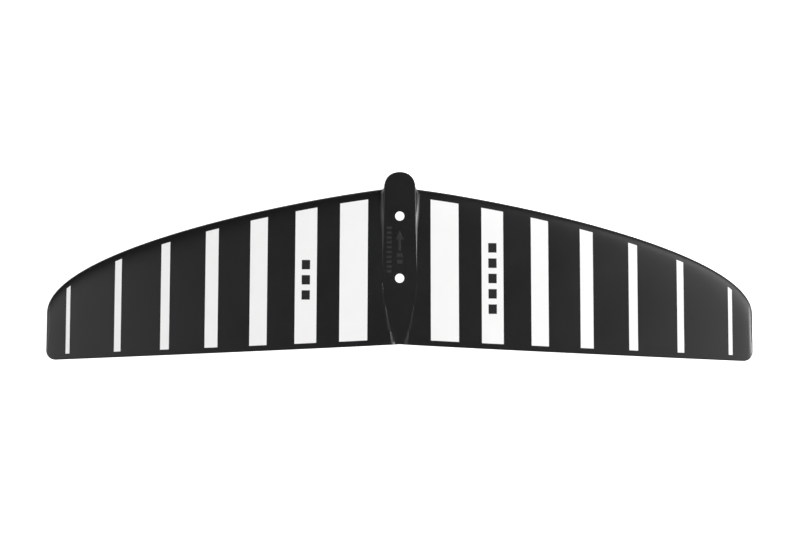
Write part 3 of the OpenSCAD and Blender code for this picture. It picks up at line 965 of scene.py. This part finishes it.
class STABILISER_OT_stripes(bpy.types.Operator):
    """Lay the white stripes and their dashes on the upper shell"""

    bl_idname = "stabiliser.stripes"
    bl_label = "Stripes"

    def execute(self, context):
        scene = context.scene
        form = WingForm(scene.stabiliser_wing)
        self.print = scene.stabiliser_stripes
        for side, sign in (("left", -1.0), ("right", 1.0)):
            for number in range(STRIPE_COUNT):
                node = f"stripe_{side}_{number + 1}"
                inner, outer = self.edges(form, number, 1.0)
                stations = sign * np.linspace(inner, outer, STRIPE_STEPS[0])
                front = form.lead(stations) - self.gap(form, stations)
                rear = form.trail(stations) + self.print.rear_gap
                piece = self.film(form, node + "_print", stations, front, rear, 0.0)
                finished(piece, finish("white"), [node])
            node = f"dashes_{side}"
            low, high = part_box(node)
            inner, outer = self.edges(form, self.print.marked - 1, self.print.dash_width)
            stations = sign * np.linspace(inner, outer, DASH_STEPS)
            count = getattr(self.print, node)
            pitch = (high.y - low.y) / (count - 1 + self.print.dash_length)
            dashes = []
            for k in range(count):
                front = np.full_like(stations, high.y - k * pitch)
                rear = front - pitch * self.print.dash_length
                dashes.append(self.film(form, f"{node}_print", stations, front, rear,
                                        self.print.film))
            finished(merged(dashes), finish("black"), [node])
        return {"FINISHED"}

    def edges(self, form, number, share):
        """Inner and outer edge of a stripe, as distances from the centre."""
        middle = form.half * self.print.places[number]
        half = form.half * self.print.widths[number] * share / 2
        return middle - half, middle + half

    def gap(self, form, stations):
        """Distance behind the leading edge at which a stripe starts."""
        near = np.abs(stations) * INSIDE_SHARE
        slope = (form.lead(near - SLOPE_STEP) - form.lead(near + SLOPE_STEP)) / (2 * SLOPE_STEP)
        gap = self.print.front_gap - self.print.gap_fall * form.share(stations)
        return np.minimum(MOST_GAP * form.chord(stations), gap * np.sqrt(1 + slope ** 2))

    def film(self, form, name, stations, front, rear, lift):
        """A thin film on the upper face between two edges."""
        t = np.linspace(0, 1, STRIPE_STEPS[1])[None, :]
        s = np.repeat(stations[:, None], t.shape[1], 1)
        y = front[:, None] + (rear - front)[:, None] * t
        s = s - self.print.shift
        x, z = form.x(s, y), form.z(s, y, 1.0) + lift
        return slab(name, np.stack([x, y, z + self.print.film], -1),
                    np.stack([x, y, z], -1), 0.0)


class STABILISER_OT_inner_parts(bpy.types.Operator):
    """Give the pieces inside the shells their finishes"""

    bl_idname = "stabiliser.inner_parts"
    bl_label = "Inner parts"

    def execute(self, context):
        finishes = {"carbon_laminate": "carbon", "glass_laminate": "laminate",
                    "core_foam": "foam", "sleeve_metal": "metal", "black_shell": "shell",
                    "white_film": "white", "black_print": "black"}
        slots = {part["node"]: part["material_slot"] for part in frame["record"]["subparts"]}
        for name, piece in frame["nodes"].items():
            piece.data.materials.clear()
            piece.data.materials.append(finish(finishes[slots[name]]))
        return {"FINISHED"}


class STABILISER_OT_studio(bpy.types.Operator):
    """Set the floor, the backdrop, the lights and the camera"""

    bl_idname = "stabiliser.studio"
    bl_label = "Studio"

    def execute(self, context):
        scene = context.scene
        studio = scene.stabiliser_studio
        side = studio.floor_side / 2
        level = cad_bounds[0][2] - studio.floor_gap
        corners = ((-side, -side), (side, -side), (side, side), (-side, side))
        self.staged("floor", [(x, y, level) for x, y in corners], [(0, 1, 2, 3)])

        turns = [2 * math.pi * k / TURN_STEPS for k in range(TURN_STEPS)]
        reach = studio.backdrop_reach
        points = [(reach * math.cos(turn), reach * math.sin(turn), z)
                  for z in (level, level + studio.backdrop_height) for turn in turns]
        pairs = zip(range(TURN_STEPS), [*range(1, TURN_STEPS), 0])
        self.staged("backdrop", points,
                    [(a, b, b + TURN_STEPS, a + TURN_STEPS) for a, b in pairs])

        world = bpy.data.worlds.new("studio_air")
        world.use_nodes = True
        air = world.node_tree.nodes["Background"]
        air.inputs["Color"].default_value = (1.0, 1.0, 1.0, 1.0)
        air.inputs["Strength"].default_value = studio.air
        scene.world = world

        for name, (turn, tilt, setting) in SOFT_BOXES.items():
            self.soft_box(studio, name, math.radians(turn), math.radians(tilt),
                          getattr(studio, setting))

        camera_data = bpy.data.cameras.new("camera")
        camera_data.lens = camera_data.sensor_width * studio.distance / studio.view_width
        camera = bpy.data.objects.new("camera", camera_data)
        camera.location = (studio.view_side, -studio.view_centre, studio.distance)
        camera.rotation_euler = (0.0, 0.0, studio.roll)
        scene.collection.objects.link(camera)
        scene.camera = camera
        scene.view_settings.view_transform = "Standard"
        return {"FINISHED"}

    def staged(self, name, points, faces):
        """A pale surface that belongs to the studio."""
        mesh = bpy.data.meshes.new(name)
        mesh.from_pydata(points, [], faces)
        mesh.materials.append(finish("floor"))
        surface = bpy.data.objects.new(name, mesh)
        bpy.context.scene.collection.objects.link(surface)

    def soft_box(self, studio, name, turn, tilt, watts):
        """A square light that faces the wing, turned from +X and tilted from overhead."""
        reach = studio.light_distance
        place = Vector((reach * math.sin(tilt) * math.cos(turn),
                        reach * math.sin(tilt) * math.sin(turn), reach * math.cos(tilt)))
        data = bpy.data.lights.new(name, "AREA")
        data.shape = "SQUARE"
        data.size = studio.light_size
        data.energy = watts
        light = bpy.data.objects.new(name, data)
        light.location = place
        light.rotation_euler = (-place).to_track_quat("-Z", "Y").to_euler()
        bpy.context.scene.collection.objects.link(light)


class STABILISER_PT_panel(bpy.types.Panel):
    """Lists the build steps"""

    bl_idname = "STABILISER_PT_panel"
    bl_label = "Stabiliser"
    bl_space_type = "VIEW_3D"
    bl_region_type = "UI"
    bl_category = "Stabiliser"

    def draw(self, context):
        for operator in OPERATORS:
            self.layout.operator(operator.bl_idname)


GROUPS = {
    "stabiliser_wing": WingShape,
    "stabiliser_pad": PadShape,
    "stabiliser_bolts": BoltShape,
    "stabiliser_stripes": StripeShape,
    "stabiliser_colours": FinishColours,
    "stabiliser_studio": StudioSettings,
}
OPERATORS = (STABILISER_OT_inner_parts, STABILISER_OT_shells, STABILISER_OT_pad,
             STABILISER_OT_sleeves, STABILISER_OT_stripes, STABILISER_OT_studio)


def register():
    for name, group in GROUPS.items():
        bpy.utils.register_class(group)
        setattr(bpy.types.Scene, name, PointerProperty(type=group))
    for cls in (*OPERATORS, STABILISER_PT_panel):
        bpy.utils.register_class(cls)


def unregister():
    for cls in (STABILISER_PT_panel, *reversed(OPERATORS)):
        bpy.utils.unregister_class(cls)
    for name, group in GROUPS.items():
        delattr(bpy.types.Scene, name)
        bpy.utils.unregister_class(group)


def main():
    register()
    for operator in OPERATORS:
        group, name = operator.bl_idname.split(".")
        getattr(getattr(bpy.ops, group), name)()


if __name__ == "__main__":
    main()
